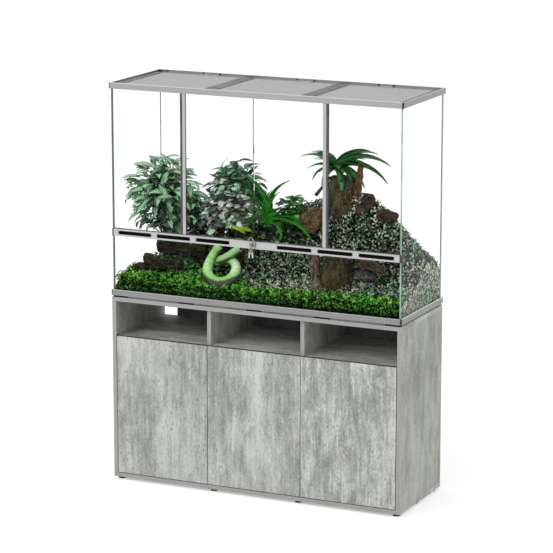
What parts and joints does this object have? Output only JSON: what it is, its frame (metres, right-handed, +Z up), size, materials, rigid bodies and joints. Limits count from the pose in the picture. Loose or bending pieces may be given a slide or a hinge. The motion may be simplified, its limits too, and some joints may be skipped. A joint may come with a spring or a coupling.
{
  "type": "terrarium cabinet",
  "caption": "Planted glass terrarium with swing doors, mesh lids and a vent rail, standing on a concrete-look cabinet with hinged doors and open niches.",
  "frame": {"origin": "on the floor, under the middle of the cabinet's width and depth", "axes": "+Z up, front of the cabinet towards -Y, +X to the right when seen from the front"},
  "size_m": [1.203, 0.4261, 1.554],
  "materials": {
    "cabinet_board": "melamine board with a concrete look, pale grey with darker blotches and streaks",
    "door_board": "melamine board with a concrete look, streaked upright",
    "back_board": "dark coated fibreboard",
    "hinge_steel": "nickel plated",
    "latch_plastic": "grey moulded plastic",
    "black_plastic": "satin black moulded plastic",
    "black_rubber": "matt black rubber",
    "rail_aluminium": "satin anodised",
    "pane_glass": "clear float glass with greenish edges",
    "lock_chrome": "polished",
    "lid_strip": "dark grey, satin",
    "lid_mesh": "fine woven gauze",
    "soil": null,
    "small_leaves": null,
    "driftwood": "weathered brown driftwood with bark",
    "rock": "rough brown stone",
    "broad_leaves": null,
    "sword_leaves": null,
    "snake_skin": null
  },
  "bodies": {
    "root": {"cabinet_side_left": "cabinet_board", "cabinet_side_right": "cabinet_board", "cabinet_top_panel": "cabinet_board", "cabinet_bottom_panel": "cabinet_board", "cabinet_dividers": "cabinet_board", "niche_shelves": "cabinet_board", "cabinet_back_panel": "back_board", "hinge_arms": "hinge_steel", "push_latch_bodies": "latch_plastic", "cabinet_feet": "black_plastic", "corner_caps": "black_plastic", "rail_end_caps": "black_plastic", "vent_grilles": "black_plastic", "tank_pads": "black_rubber", "door_gaskets": "black_rubber", "base_rails": "rail_aluminium", "top_rail_front": "rail_aluminium", "top_rail_back": "rail_aluminium", "top_rails_side": "rail_aluminium", "vent_rail": "rail_aluminium", "floor_glass": "pane_glass", "glass_sides": "pane_glass", "glass_back": "pane_glass", "glass_front_lower": "pane_glass", "glass_front_fixed": "pane_glass", "lock_escutcheon": "lock_chrome", "substrate": "soil", "ground_cover": "small_leaves", "creeper_bank": "small_leaves", "driftwood": "driftwood", "rocks": "rock", "broadleaf_plants": "broad_leaves", "rosette_plants": "sword_leaves", "snake": "snake_skin"},
    "cabinet_door_left": {"cabinet_door_left": "door_board", "hinge_cups_left": "hinge_steel"},
    "cabinet_door_centre": {"cabinet_door_centre": "door_board", "hinge_cups_centre": "hinge_steel"},
    "cabinet_door_right": {"cabinet_door_right": "door_board", "hinge_cups_right": "hinge_steel"},
    "latch_left": {"latch_plunger_left": "latch_plastic"},
    "latch_centre": {"latch_plunger_centre": "latch_plastic"},
    "latch_right": {"latch_plunger_right": "latch_plastic"},
    "glass_door_left": {"glass_door_left": "pane_glass", "door_stile_left": "rail_aluminium", "door_pull": "black_plastic"},
    "glass_door_right": {"glass_door_right": "pane_glass", "door_stile_right": "rail_aluminium"},
    "key_bunch": {"key_ring": "lock_chrome", "keys": "lock_chrome"},
    "lock": {"lock_cylinder": "lock_chrome"},
    "lid_left": {"lid_strips_left": "lid_strip", "lid_mesh_left": "lid_mesh"},
    "lid_centre": {"lid_strips_centre": "lid_strip", "lid_mesh_centre": "lid_mesh"},
    "lid_right": {"lid_strips_right": "lid_strip", "lid_mesh_right": "lid_mesh"},
    "shutter_left": {"port_shutter_left": "rail_aluminium"},
    "shutter_centre": {"port_shutter_centre": "rail_aluminium"},
    "shutter_right": {"port_shutter_right": "rail_aluminium"}
  },
  "joints": [
    {"name": "cabinet_door_left_swing", "type": "hinge", "parent": "root", "child": "cabinet_door_left", "pos_m": [-0.5815, -0.203, 0.3], "axis": [0, 0, -1], "range_deg": [0, 105]},
    {"name": "cabinet_door_centre_swing", "type": "hinge", "parent": "root", "child": "cabinet_door_centre", "pos_m": [-0.193, -0.203, 0.3], "axis": [0, 0, -1], "range_deg": [0, 105]},
    {"name": "cabinet_door_right_swing", "type": "hinge", "parent": "root", "child": "cabinet_door_right", "pos_m": [0.5815, -0.203, 0.3], "axis": [0, 0, 1], "range_deg": [0, 105]},
    {"name": "latch_left_press", "type": "slide", "parent": "root", "child": "latch_left", "axis": [0, 1, 0], "range_m": [0, 0.002], "stiffness_N_per_m": 300},
    {"name": "latch_centre_press", "type": "slide", "parent": "root", "child": "latch_centre", "axis": [0, 1, 0], "range_m": [0, 0.002], "stiffness_N_per_m": 300},
    {"name": "latch_right_press", "type": "slide", "parent": "root", "child": "latch_right", "axis": [0, 1, 0], "range_m": [0, 0.002], "stiffness_N_per_m": 300},
    {"name": "glass_door_left_swing", "type": "hinge", "parent": "root", "child": "glass_door_left", "pos_m": [-0.289, -0.195, 1.26], "axis": [0, 0, -1], "range_deg": [0, 110]},
    {"name": "glass_door_right_swing", "type": "hinge", "parent": "root", "child": "glass_door_right", "pos_m": [0.289, -0.195, 1.26], "axis": [0, 0, 1], "range_deg": [0, 110]},
    {"name": "key_ring_swing", "type": "hinge", "parent": "glass_door_left", "child": "key_bunch", "pos_m": [-0.005, -0.211, 1.007], "axis": [0, 1, 0], "range_deg": [-30, 30]},
    {"name": "lock_turn", "type": "hinge", "parent": "root", "child": "lock", "pos_m": [0, -0.198, 0.98], "axis": [0, -1, 0], "range_deg": [0, 90]},
    {"name": "lid_left_lift", "type": "slide", "parent": "root", "child": "lid_left", "axis": [0, 0, 1], "range_m": [0, 0.12]},
    {"name": "lid_centre_lift", "type": "slide", "parent": "root", "child": "lid_centre", "axis": [0, 0, 1], "range_m": [0, 0.12]},
    {"name": "lid_right_lift", "type": "slide", "parent": "root", "child": "lid_right", "axis": [0, 0, 1], "range_m": [0, 0.12]},
    {"name": "shutter_left_slide", "type": "slide", "parent": "root", "child": "shutter_left", "axis": [1, 0, 0], "range_m": [0, 0.055]},
    {"name": "shutter_centre_slide", "type": "slide", "parent": "root", "child": "shutter_centre", "axis": [1, 0, 0], "range_m": [0, 0.055]},
    {"name": "shutter_right_slide", "type": "slide", "parent": "root", "child": "shutter_right", "axis": [1, 0, 0], "range_m": [0, 0.055]}
  ]
}
